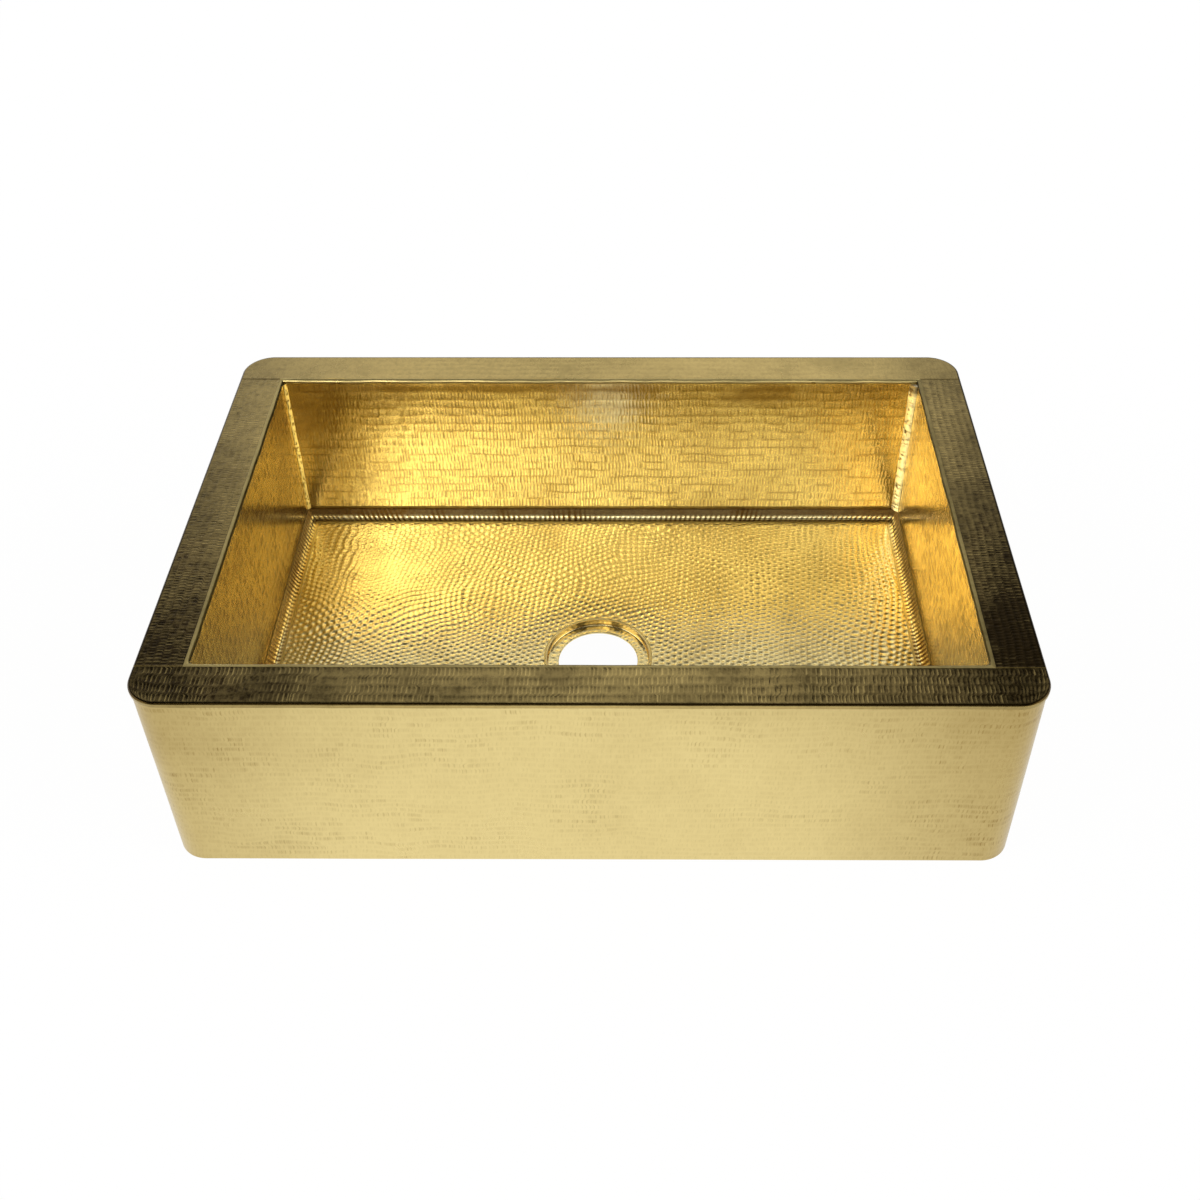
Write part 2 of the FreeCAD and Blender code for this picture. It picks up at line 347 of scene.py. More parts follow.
def thicken(blank, size, thickness):
    """Turn the long edges down, join them underneath and close the two ends."""
    for edge in (size[1] / 2, -size[1] / 2):
        points = points_of(blank)
        pick_edges(blank, (np.abs(points[:, 1] - edge) < NEAR) & (points[:, 2] > -NEAR))
        bpy.ops.mesh.extrude_edges_move(TRANSFORM_OT_translate={"value": (0, 0, -thickness)})
    bpy.ops.object.mode_set(mode="OBJECT")
    points = points_of(blank)
    pick_edges(blank, points[:, 2] < -thickness / 2)
    bpy.ops.mesh.bridge_edge_loops()
    pick_open_edges()
    bpy.ops.mesh.fill_holes(sides=0)
    turn_faces_out(blank)


def give_thickness(piece):
    """Sheet thickness behind a face that is already folded."""
    take_up(piece)
    back = piece.modifiers.new("sheet", "SOLIDIFY")
    back.thickness = SHEET
    back.offset = -1
    bpy.ops.object.modifier_apply(modifier=back.name)


def hammered_blank(name, size, cuts, seed, pitch, depth, wander,
                   patina_share, whole_marks, between_rows, stains=()):
    """Blank with rows of cross-peen marks in its good face, and patina in at least a share of them."""
    marks, rows = round(size[0] / pitch[0]), round(size[1] / pitch[1])
    blank = flat_blank(name, size, marks * cuts[0], rows * cuts[1])
    thicken(blank, size, SHEET)
    points = points_of(blank)
    face = points[:, 2] > -NEAR
    along, across = points[face, 0], points[face, 1]
    drift, sway, hollow, trough, ridge, dark = row_marks(along, across, size, marks, rows, cuts, wander, seed)
    patches = 0.7 + 0.5 * slow_noise(along, across, 70 * MM, seed + 5)
    points[face, 0] += drift
    points[face, 1] += sway
    points[face, 2] -= depth * (hollow * patches + TROUGH * trough) + sheet_wave(along, across, seed + 7)
    move_points(blank, points)
    patina_and_shade = np.zeros(len(points))
    patina_and_shade[face] = tick_patina(along, across, rows, size[1], hollow, ridge, dark * whole_marks, patina_share,
                               between_rows, seed + 9)
    # Darker patches under the mouth; the one in the middle of the back wall is painted shade.
    if stains:
        patina_and_shade[face] = np.maximum(patina_and_shade[face], wall_dark_patches(along, across, size[1], stains))
    keep_patina_and_shade(blank, patina_and_shade)
    return blank


def fold_upright(blank, middle, heading):
    """Stand a blank up at a middle point, its length along the heading and its good face along heading x
    up."""
    points = points_of(blank)
    along, up, out = points.T
    ahead = np.array([heading[0], heading[1], 0.0])
    facing = np.array([heading[1], -heading[0], 0.0])
    upright = np.outer(along, ahead) + np.outer(out, facing) + np.outer(up, [0, 0, 1]) + np.array(middle)
    move_points(blank, upright)


def fold_round_corners(blank, turn):
    """Stand a blank up as the shell's front (turn 1) or back (turn -1), wrapped round both corners."""
    points = points_of(blank)
    along, up, out = points.T
    past = np.abs(along) - CORNER_X
    angle = np.clip(past / SHELL_RADIUS, 0, math.pi / 2)
    straight_on = np.maximum(past - SHELL_RADIUS * math.pi / 2, 0)
    reach = SHELL_RADIUS + out
    x = np.sign(along) * (np.minimum(np.abs(along), CORNER_X) + reach * np.sin(angle))
    y = -(CORNER_Y + reach * np.cos(angle)) + straight_on
    z = up + SHELL_TOP / 2
    move_points(blank, np.column_stack((x * turn, y * turn, z)))


def fold_cove(blank, size, half_length, wall_distance, heading):
    """Roll a blank into the quarter-round between floor and wall, mitred at both ends."""
    points = points_of(blank)
    along, up, out = points.T
    angle = (0.5 - up / size[1]) * math.pi / 2
    reach = COVE_RADIUS - out
    from_wall = COVE_RADIUS - reach * np.cos(angle)
    z = COVE_TOP - reach * np.sin(angle)
    along = along * (half_length - from_wall) / half_length
    ahead = np.array([heading[0], heading[1]])
    facing = np.array([heading[1], -heading[0]])
    plan = np.outer(along, ahead) + np.outer(from_wall - wall_distance, facing)
    move_points(blank, np.column_stack((plan, z)))


# ---------------- materials
def linear(hex_colour):
    """sRGB hex to the linear values that shaders take."""
    values = [int(hex_colour[i:i + 2], 16) / 255 for i in (1, 3, 5)]
    return [v / 12.92 if v <= 0.04045 else ((v + 0.055) / 1.055) ** 2.4 for v in values] + [1.0]


def node(tree, kind, settings=None, **links):
    """Add a node with its settings. A link is an output socket, any other value is set on the input."""
    made = tree.nodes.new("ShaderNode" + kind)
    for key, value in (settings or {}).items():
        setattr(made, key, value)
    for key, value in links.items():
        numbered = key[0] == "i" and key[1:].isdigit()
        socket = made.inputs[int(key[1:]) if numbered else key.replace("_", " ")]
        if isinstance(value, bpy.types.NodeSocket):
            tree.links.new(value, socket)
        else:
            socket.default_value = value
    return made


SMOOTH = {"interpolation_type": "SMOOTHSTEP"}
SPECK = 5 * MM              # size of the specks in the mottling
GRAIN = 0.9 * MM            # width of the brushed grain: really about 0.1 mm, drawn coarser to show
GRAIN_DEPTH = 0.05 * MM


def brass(name, clean, tarnish, roughness, patch, stain, mottle, patina_and_shade, grain, shade_falloff=None, lip_shadow_height=None):
    """Bare brass: a bright metal whose colour drifts in slow patches and fine mottling, with darker patina
    caught in the hammer marks and a fine brushed grain that blurs its reflections. Stain, mottle and the
    patina and painted shade that a piece stores say how far each takes the colour from clean to tarnish.
    Shade falloff is a middle, a spread round it past which the colour is painted darker as painted shade,
    and how much darker. Lip shadow height is a height just under which a broken line of painted shadow lies."""
    made = bpy.data.materials.new(name)
    made.use_nodes = True
    tree = made.node_tree
    tree.nodes.clear()
    place = node(tree, "TexCoord").outputs["Object"]
    clouds = node(tree, "TexNoise", Vector=place, Scale=1 / patch, Detail=4.0, Roughness=0.6)
    stains = node(tree, "MapRange", SMOOTH, Value=clouds.outputs["Fac"],
                  From_Min=0.42, From_Max=0.74, To_Min=0.0, To_Max=stain)
    specks = node(tree, "TexNoise", Vector=place, Scale=1 / SPECK, Detail=3.0, Roughness=0.65)
    mottling = node(tree, "MapRange", SMOOTH, Value=specks.outputs["Fac"],
                    From_Min=0.42, From_Max=0.68, To_Min=0.0, To_Max=mottle)
    kept = node(tree, "Attribute", {"attribute_name": "patina_and_shade"}).outputs["Fac"]
    layers = [mottling.outputs["Result"]]
    # Painted shade: the colour is taken towards tarnish away from a middle point.
    if shade_falloff:
        middle, spread, shade_depth = shade_falloff
        off = node(tree, "VectorMath", {"operation": "SUBTRACT"}, i0=place, i1=middle)
        away = node(tree, "VectorMath", {"operation": "DIVIDE"}, i0=off.outputs[0], i1=spread)
        far = node(tree, "VectorMath", {"operation": "LENGTH"}, i0=away.outputs[0])
        painted_shade = node(tree, "MapRange", SMOOTH, Value=far.outputs["Value"],
                    From_Min=0.4, From_Max=1.05, To_Min=0.0, To_Max=shade_depth)
        layers.append(painted_shade.outputs["Result"])
    # Painted shadow: a broken dark line just under a given height, the shadow under the rim's lip.
    if lip_shadow_height:
        level = node(tree, "SeparateXYZ", Vector=place).outputs["Z"]
        line = node(tree, "MapRange", Value=level, From_Min=lip_shadow_height - 1.7 * MM, From_Max=lip_shadow_height - 0.6 * MM,
                    To_Min=-0.2, To_Max=1.0)
        broken = node(tree, "Math", {"operation": "SUBTRACT"},
                      i0=line.outputs["Result"], i1=clouds.outputs["Fac"])
        painted_lip_shadow = node(tree, "Math", {"operation": "MULTIPLY", "use_clamp": True},
                      i0=broken.outputs[0], i1=2.0)
        layers.append(painted_lip_shadow.outputs[0])
    # Stains, mottling, stored patina and painted shade, and the painted layers above add into one darkening.
    dirt_and_shade = node(tree, "Math", {"operation": "MULTIPLY_ADD"}, i0=kept, i1=patina_and_shade, i2=stains.outputs["Result"])
    for layer in layers:
        dirt_and_shade = node(tree, "Math", {"operation": "ADD", "use_clamp": True}, i0=dirt_and_shade.outputs[0], i1=layer)
    colour = node(tree, "Mix", {"data_type": "RGBA"},
                  i0=dirt_and_shade.outputs[0], i6=linear(clean), i7=linear(tarnish))
    dulling = node(tree, "MapRange", Value=clouds.outputs["Fac"], From_Min=0.3, From_Max=0.7,
                   To_Min=roughness[0], To_Max=roughness[1])
    fine = node(tree, "TexNoise", Vector=place, Scale=1 / GRAIN, Detail=2.0)
    bump = node(tree, "Bump", Height=fine.outputs["Fac"], Strength=grain, Distance=GRAIN_DEPTH)
    shader = node(tree, "BsdfPrincipled", Base_Color=colour.outputs[2], Metallic=1.0,
                  Roughness=dulling.outputs["Result"], Normal=bump.outputs["Normal"])
    out = node(tree, "OutputMaterial")
    tree.links.new(shader.outputs["BSDF"], out.inputs["Surface"])
    return made


# Brushed sheet: soft, wide reflections; its colour is painted darker away from the middle of the apron as
# painted shade, and a broken line of painted shadow lies under the rim's lip
APRON_BRASS = brass(
    "brushed_hammered_brass_sheet", "#E8D391", "#94793F", roughness=(0.26, 0.34), patch=120 * MM, stain=0.1,
    mottle=0.05, patina_and_shade=0.5, grain=0.25, shade_falloff=((-0.03, 0, 0), (0.5, 1.6, 0.5), 0.65),
    lip_shadow_height=HEIGHT - LIP_HEIGHT)
# Dark waxed sheet with ridges left bright, partly rubbed wear and partly painted highlight: brown to black
# with thin bright lines, and painted darker towards the ends and the front corners as painted shade
RIM_BRASS = brass(
    "waxed_hammered_brass_sheet", "#EBCF84", "#2C210C", roughness=(0.22, 0.3), patch=60 * MM, stain=0.08,
    mottle=0.07, patina_and_shade=1.0, grain=0.25, shade_falloff=((0.01, 0.3, 0.2), (0.56, 0.75, 1.0), 0.58))
# Polished sheet: deep gold with crisp broken reflections and amber strokes
BOWL_BRASS = brass(
    "polished_hammered_brass_sheet", "#EBD89A", "#8A6420", roughness=(0.18, 0.26), patch=80 * MM, stain=0.12,
    mottle=0.1, patina_and_shade=0.54, grain=0.2)
# The same sheet where water has stained it: warmer, with darker marks
SIDE_BRASS = brass(
    "stained_hammered_brass_sheet", "#E8CC74", "#8A6010", roughness=(0.18, 0.26), patch=80 * MM, stain=0.15,
    mottle=0.1, patina_and_shade=0.66, grain=0.2)
# Peened strip: a dotted bright line over brown creases, under a band of painted shade
COVE_BRASS = brass(
    "peened_brass_cove", "#EBDBA2", "#6B4C1C", roughness=(0.2, 0.28), patch=60 * MM, stain=0.1, mottle=0.05,
    patina_and_shade=1.0, grain=0.2)
# Polished sheet under ball-peen marks: a sparkle in every dish, olive between them
FLOOR_BRASS = brass(
    "ball_peened_brass_sheet", "#EADA9F", "#8F6F34", roughness=(0.18, 0.25), patch=70 * MM, stain=0.1,
    mottle=0.05, patina_and_shade=0.6, grain=0.2)
# Filed weld metal: paler and more matt than the sheet
WELD_BRASS = brass(
    "dressed_brass_weld", "#E9D68F", "#7A6030", roughness=(0.3, 0.42), patch=20 * MM, stain=0.1, mottle=0.1,
    patina_and_shade=0.9, grain=0.4)
# Brazing metal left rough: nearly cream, with brown pits
BRAZE_BRASS = brass(
    "pale_brazing_brass", "#F4EAC6", "#4A3210", roughness=(0.3, 0.42), patch=20 * MM, stain=0.1, mottle=0.1,
    patina_and_shade=0.9, grain=0.4)
# Filed edge round the mouth: a smooth grey-gold line
BEAD_BRASS = brass(
    "filed_brass_bead", "#CDB878", "#3A3012", roughness=(0.26, 0.36), patch=60 * MM, stain=0.15, mottle=0.08,
    patina_and_shade=1.0, grain=0.3)
# Sunk seam that polishing misses: a thin dull brown line
SEAM_BRASS = brass(
    "darkened_brass_seam", "#8F7A44", "#3C300F", roughness=(0.35, 0.5), patch=30 * MM, stain=0.4, mottle=0.2,
    patina_and_shade=0.6, grain=0.3)
# Sheet as rolled, on the hidden parts: flat, blotched and dull
PLAIN_BRASS = brass(
    "mill_finish_brass_sheet", "#CDB474", "#7A6538", roughness=(0.32, 0.45), patch=50 * MM, stain=0.35,
    mottle=0.1, patina_and_shade=0.0, grain=0.3)


# ---------------- bowl
# Darker patches under the mouth, by wall: middle along it, distance below its top edge, half length, half
# height in mm, and strength.
WALL_DARK_PATCHES = {
    "front": ((-120, 12, 150, 14, 1.0), (200, 10, 90, 12, 0.8)),
    # The patch in the middle of the back wall, under its top edge, is painted shade.
    "back": ((195, 16, 62, 18, 1.0), (-335, 45, 60, 60, 0.8), (-110, 6, 290, 11, 1.0), (0, 10, 90, 16, 1.0),
             (30, 34, 60, 9, 0.5)),
    "left": ((-60, 30, 90, 22, 0.4), (150, 90, 60, 50, 0.6)),
    "right": ((-60, 20, 80, 18, 0.4), (-190, 60, 30, 80, 0.5)),
}


def make_walls():
    """Four wall sheets: polished and struck finely at the front and back, stained and struck widely at the
    sides."""
    height = BEAD_UNDERSIDE - WALL_BOTTOM
    middle = (BEAD_UNDERSIDE + WALL_BOTTOM) / 2
    long_size = (2 * (MOUTH_X + SHEET), height)
    short_size = (2 * MOUTH_Y, height)
    for side, size, place, heading, hammering, finish, seed in (
            ("front", long_size, (0, -MOUTH_Y, middle), TO_LEFT, LONG_WALLS, BOWL_BRASS, 11),
            ("back", long_size, (0, MOUTH_Y, middle), TO_RIGHT, LONG_WALLS, BOWL_BRASS, 21),
            ("left", short_size, (-MOUTH_X, 0, middle), TO_BACK, SHORT_WALLS, SIDE_BRASS, 31),
            ("right", short_size, (MOUTH_X, 0, middle), TO_FRONT, SHORT_WALLS, SIDE_BRASS, 41)):
        wall = hammered_blank("hammered_wall_" + side, size, (5, 5), seed,
                              stains=WALL_DARK_PATCHES[side], **hammering)
        fold_upright(wall, place, heading)
        mount(wall, finish, "row_hammered_brass", "bowl_wall_" + side)


def make_coves():
    """Quarter-round strips, peened with one row of round blows that leaves a line of dished facets."""
    height = COVE_RADIUS * math.pi / 2
    # The profile as angles about the cove's axis, from the wall down to the floor, and distances from it
    outline = np.array(COVE_PROFILE) * MM
    run = np.linspace(0, len(outline) - 1, 400)
    from_wall, above_floor = (np.interp(run, np.arange(len(outline)), outline[:, i]) for i in (0, 1))
    angles = np.arctan2(COVE_RADIUS - above_floor, COVE_RADIUS - from_wall)
    reaches = np.hypot(COVE_RADIUS - above_floor, COVE_RADIUS - from_wall)
    first, last = (math.atan2(COVE_RADIUS - outline[i][1], COVE_RADIUS - outline[i][0]) for i in STRUCK_FACET)
    struck_angles = ((first, last), (0.0, 1.0))
    plans = (("front", MOUTH_X, MOUTH_Y, TO_LEFT, 51), ("back", MOUTH_X, MOUTH_Y, TO_RIGHT, 52),
             ("left", MOUTH_Y, MOUTH_X, TO_BACK, 53), ("right", MOUTH_Y, MOUTH_X, TO_FRONT, 54))
    for side, half_length, distance, heading, seed in plans:
        size = (2 * half_length, height)
        facets = round(size[0] / COVE_FACET)
        cove = flat_blank("hammered_cove_" + side, size, facets * 6, 28)
        points = points_of(cove)
        along, across = points[:, 0], points[:, 1]
        in_facet = np.mod((along / size[0] + 0.5) * facets, 1)
        force = 0.65 + 0.5 * noise_along(along, 11 * MM, seed)
        angle = (0.5 - across / height) * math.pi / 2
        from_facet = (np.interp(angle, *struck_angles) - 0.5) * 2
        dish = (1 - (2 * in_facet - 1) ** 2) * (1 - np.abs(from_facet) ** 3)
        drift = (noise_along(along, 16 * MM, seed + 1) - 0.5) * 3 * MM
        points[:, 0] += drift * fade_in(half_length - np.abs(along), 12 * MM)
        points[:, 2] += COVE_RADIUS - np.interp(angle, angles, reaches) - COVE_DISH * dish * force
        move_points(cove, points)
        from_crease = np.abs(in_facet - np.round(in_facet))
        between = (0.55 + 0.45 * slow_noise(along, across, 30 * MM, seed + 2)) * (from_crease < 0.2)
        # Painted shade: a dark band along the upper part of the cove next to the wall, stronger on the front
        # and back.
        painted_shade_above = (0.85 if half_length == MOUTH_X else 0.5) * fade_in(across + 1.6 * MM, 2 * MM)
        keep_patina_and_shade(cove, np.maximum(between, painted_shade_above))
        fold_cove(cove, size, half_length, distance, heading)
        give_thickness(cove)
        mount(cove, COVE_BRASS, "ball_hammered_brass", "cove_" + side)


def make_floor():
    """Floor sheet: the hole is cut, its edge pulled to a true circle, and the sheet given its thickness."""
    size = (2 * (MOUTH_X - COVE_RADIUS - FLOOR_SEAM), 2 * (MOUTH_Y - COVE_RADIUS - FLOOR_SEAM))
    hole = CUP_RADIUS + SHEET + CUP_WELD
    sheet = flat_blank("hammered_floor", size, 404, 244)
    pick_faces(sheet, lambda centres: np.hypot(centres[:, 0], centres[:, 1] - DRAIN_Y) < hole + 0.3 * MM)
    bpy.ops.mesh.delete(type="FACE")
    pick_open_edges()
    edge = selected_points(sheet)
    points = points_of(sheet)
    from_drain = np.hypot(points[:, 0], points[:, 1] - DRAIN_Y)
    edge &= from_drain < hole + 6 * MM
    points[edge, 0] *= hole / from_drain[edge]
    points[edge, 1] = DRAIN_Y + (points[edge, 1] - DRAIN_Y) * hole / from_drain[edge]
    move_points(sheet, points)
    take_up(sheet)
    bpy.ops.object.mode_set(mode="EDIT")
    pick_open_edges()
    bpy.ops.mesh.extrude_edges_move(TRANSFORM_OT_translate={"value": (0, 0, -SHEET)})
    bpy.ops.mesh.fill(use_beauty=False)
    turn_faces_out(sheet)
    points = points_of(sheet)
    face = points[:, 2] > -NEAR
    x, y = points[face, 0], points[face, 1]
    hollow = ball_marks(x, y, BALL_MARK, math.radians(24), 61)
    to_drain = 1 - fade_in(np.hypot(x, y - DRAIN_Y) - hole, 42 * MM)
    points[face, 2] -= BALL_DEPTH * hollow + 0.6 * sheet_wave(x, y, 65) + FLOOR_DIP * to_drain
    points[:, 2] += FLOOR_HEIGHT
    move_points(sheet, points)
    patina_and_shade = np.zeros(len(points))
    patina_and_shade[face] = fade_in(0.4 - hollow, 0.4) * (0.35 + 0.5 * slow_noise(x, y, 60 * MM, 67))
    keep_patina_and_shade(sheet, patina_and_shade)
    mount(sheet, FLOOR_BRASS, "ball_hammered_brass", "bowl_floor")


def turned(name, profile, sides):
    """Ring about the drain's axis: a circle drawn out through (radius, z) points and closed on itself."""
    clear_selection()
    bpy.ops.mesh.primitive_circle_add(vertices=sides, radius=profile[0][0], fill_type="NOTHING",
                                      location=(0, DRAIN_Y, profile[0][1]))
    bpy.ops.object.transform_apply(location=True, rotation=False, scale=False)
    ring = named(name)
    bpy.ops.object.mode_set(mode="EDIT")
    bpy.context.tool_settings.mesh_select_mode = (False, True, False)
    bpy.ops.mesh.select_all(action="SELECT")
    for (radius, z), (next_radius, next_z) in zip(profile, profile[1:]):
        bpy.ops.mesh.extrude_edges_move(TRANSFORM_OT_translate={"value": (0, 0, next_z - z)})
        grow = next_radius / radius
        bpy.ops.transform.resize(value=(grow, grow, 1), center_override=(0, DRAIN_Y, next_z))
    pick_open_edges()
    bpy.ops.mesh.bridge_edge_loops()
    turn_faces_out(ring)
    return ring


def arc(centre, radius, start, end, steps):
    """Points of an arc in (radius, z), from start to end degrees."""
    turns = [math.radians(start + (end - start) * i / steps) for i in range(steps + 1)]
    return [(centre[0] + radius * math.cos(t), centre[1] + radius * math.sin(t)) for t in turns]


def make_drain():
    """Stepped cup with its hammered ledge, and the weld round it."""
    bend = 1.2 * MM
    outer = CUP_RADIUS + SHEET
    underside = LEDGE_TOP - SHEET
    lip = 0.5 * MM
    ledge = [(DRAIN_RADIUS + lip + (CUP_RADIUS - bend - DRAIN_RADIUS - lip) * i / 9, LEDGE_TOP)
             for i in range(9)]
    profile = [(DRAIN_RADIUS, underside), (DRAIN_RADIUS, LEDGE_TOP - lip)]
    profile += arc((DRAIN_RADIUS + lip, LEDGE_TOP - lip), lip, 150, 120, 1) + ledge
    profile += arc((CUP_RADIUS - bend, LEDGE_TOP + bend), bend, -90, 0, 4)
    profile += [(CUP_RADIUS, LEDGE_TOP + 3.2 * MM), (CUP_RADIUS, FLOOR_HEIGHT - 1.2 * MM)]
    profile += [(CUP_RADIUS, FLOOR_HEIGHT), (outer, FLOOR_HEIGHT)]
    profile += arc((CUP_RADIUS - bend, LEDGE_TOP + bend), bend + SHEET, 0, -90, 4)
    cup = turned("hammered_drain_cup", profile, 320)
    points = points_of(cup)
    x, y, z = points[:, 0], points[:, 1] - DRAIN_Y, points[:, 2]
    radius, angle = np.hypot(x, y), np.arctan2(y, x)
    # Fifty marks round the ledge, measured along its middle line
    middle_line = 51 * MM
    mark = 2 * math.pi * middle_line / 50
    hollow = ball_marks(angle * middle_line, radius, mark, 0.0, 71) * fade_in(CUP_RADIUS - radius, 2 * MM)
    on_ledge = (z > LEDGE_TOP - 0.1 * MM) & (z < LEDGE_TOP + 0.6 * MM) & (radius < CUP_RADIUS - 0.2 * MM)
    points[on_ledge, 2] -= 0.25 * MM * hollow[on_ledge]
    move_points(cup, points)
    # Painted shade: the upright wall of the step down to the ledge is painted dark.
    painted_shade_on_step = (z > LEDGE_TOP + 0.6 * MM) & (radius > CUP_RADIUS - 1.3 * MM)
    keep_patina_and_shade(cup, np.where(on_ledge, 0.3 * (1 - hollow), np.where(painted_shade_on_step, 1.0, 0.0)))
    mount(cup, FLOOR_BRASS, "ball_hammered_brass", "drain_cup")

    crown = FLOOR_HEIGHT + CUP_WELD_CROWN
    half = CUP_WELD / 2
    profile = [(outer, FLOOR_HEIGHT - SHEET), (outer + CUP_WELD, FLOOR_HEIGHT - SHEET),
               (outer + CUP_WELD, FLOOR_HEIGHT), (outer + 1.6 * half, crown - 0.1 * MM),
               (outer + half, crown), (outer + 0.4 * half, crown - 0.1 * MM), (outer, FLOOR_HEIGHT)]
    weld = turned("drain_weld_bead", profile, 240)
    mount(weld, WELD_BRASS, "dressed_weld", "drain_weld")


# ---------------- welds and beads
def ribbed_bar(name, sides, cuts):
    """Unit bar about Z, from z 0 to 1, with its sides cut crosswise, to be shaped as a bead."""
    clear_selection()
    bpy.ops.mesh.primitive_cylinder_add(vertices=sides, radius=1, depth=1, end_fill_type="NGON",
                                        location=(0, 0, 0.5))
    bpy.ops.object.transform_apply(location=True, rotation=False, scale=False)
    bar = named(name)
    for pass_cuts in cuts:
        take_up(bar)
        rise = points_of(bar)[edge_ends(bar.data), 2]
        pick(bar.data, bar.data.edges, np.abs(rise[:, 0] - rise[:, 1]) > NEAR)
        bpy.ops.mesh.subdivide(number_cuts=pass_cuts)
        bpy.ops.object.mode_set(mode="OBJECT")
    return bar


def side_of(points, sides):
    """Which of a bar's sides each point is on, counted from the first point's."""
    turn = np.arctan2(points[:, 1], points[:, 0])
    return np.round((turn - turn[0]) / (2 * math.pi / sides)).astype(int) % sides


def unrolled(points):
    """Which of a bar's points are in its front half, which becomes the face of a bead, and how far across
    the bead each point is. The back half lies against the sheets."""
    share = np.clip((np.arctan2(points[:, 1], points[:, 0]) + math.pi) / (2 * math.pi), 0, 1)
    front = share >= 0.5
    return front, np.where(front, (share - 0.5) * 2, 1 - share * 2)


# Weld beads down the inside corners: length of a leg in mm and how lumpy they are
CORNER_WELDS = {"front_left": (4.2, 0.25), "front_right": (4.2, 0.25),
                "back_left": (3.4, 0.5), "back_right": (7.6, 0.8)}


def make_corner_welds():
    """Weld beads down the inside corners. The one at the back right is broad and pitted, the others are
    thin."""
    for order, (corner, sign_x, sign_y) in enumerate(CORNERS):
        leg, lumps = CORNER_WELDS[corner]
        bar = ribbed_bar("weld_" + corner, 16, (90, 2))
        points = points_of(bar)
        z = COVE_TOP + points[:, 2] * (BEAD_UNDERSIDE - COVE_TOP)
        front, across = unrolled(points)
        ripple = slow_noise(z, across * 2 * MM, 2.4 * MM, 81 + order) - 0.5
        pits = fade_in(slow_noise(z, across * 11 * MM, 3.0 * MM, 91 + order) - 0.6, 0.2)
        if corner == "back_right":
            pits = pits * fade_in(0.65 - across, 0.3)
        size = (leg + lumps * (noise_along(z, 9 * MM, 71 + order) - 0.5)) * MM
        swell = np.sin(across * math.pi) * (
            0.1 * leg * MM + 1.1 * lumps * ripple * MM - 0.9 * lumps * MM * pits)
        face_x, face_y = size * (1 - across) + swell * 0.7, size * across + swell * 0.7
        wall_x = np.where(across < 0.5, size * (1 - 2 * across), 0)
        wall_y = np.where(across > 0.5, size * (2 * across - 1), 0)
        inward = np.column_stack((np.where(front, face_x, wall_x), np.where(front, face_y, wall_y)))
        moved = np.column_stack((sign_x * (MOUTH_X - inward[:, 0]), sign_y * (MOUTH_Y - inward[:, 1]), z))
        move_points(bar, moved)
        turn_faces_out(bar)
        dent = fade_in(z - (BEAD_UNDERSIDE - 16 * MM), 9 * MM) if corner == "back_right" else 0.0
        keep_patina_and_shade(bar, np.where(front, 0.9 * pits + 0.8 * dent, 0))
        finish = BRAZE_BRASS if corner == "back_right" else WELD_BRASS
        mount(bar, finish, "dressed_weld", "corner_weld_" + corner)


def bead_outline(near_round, far_round, half_length):
    """Inner and outer edge of a mouth bead as matching (along, outward) points, from its near to its far
    mitre."""
    radius, steps = MOUTH_CORNER_RADIUS, 6
    turns = [math.radians(45 * i / steps) for i in range(steps + 1)]
    start = half_length - radius
    rounded = ([(start + radius * math.sin(t), radius * (math.cos(t) - 1)) for t in turns],
               [(start + (radius + BEAD) * math.tan(t), BEAD) for t in turns])
    square = ([(half_length, 0.0)], [(half_length + BEAD, BEAD)])
    near, far = rounded if near_round else square, rounded if far_round else square
    middle = np.linspace(-start, start, BEAD_RINGS - len(near[0]) - len(far[0]) + 2)[1:-1]
    edges = []
    for edge, outward in ((0, 0.0), (1, BEAD)):
        before = [(-along, out) for along, out in reversed(near[edge])]
        edges.append(np.array(before + [(along, outward) for along in middle] + far[edge]))
    return edges


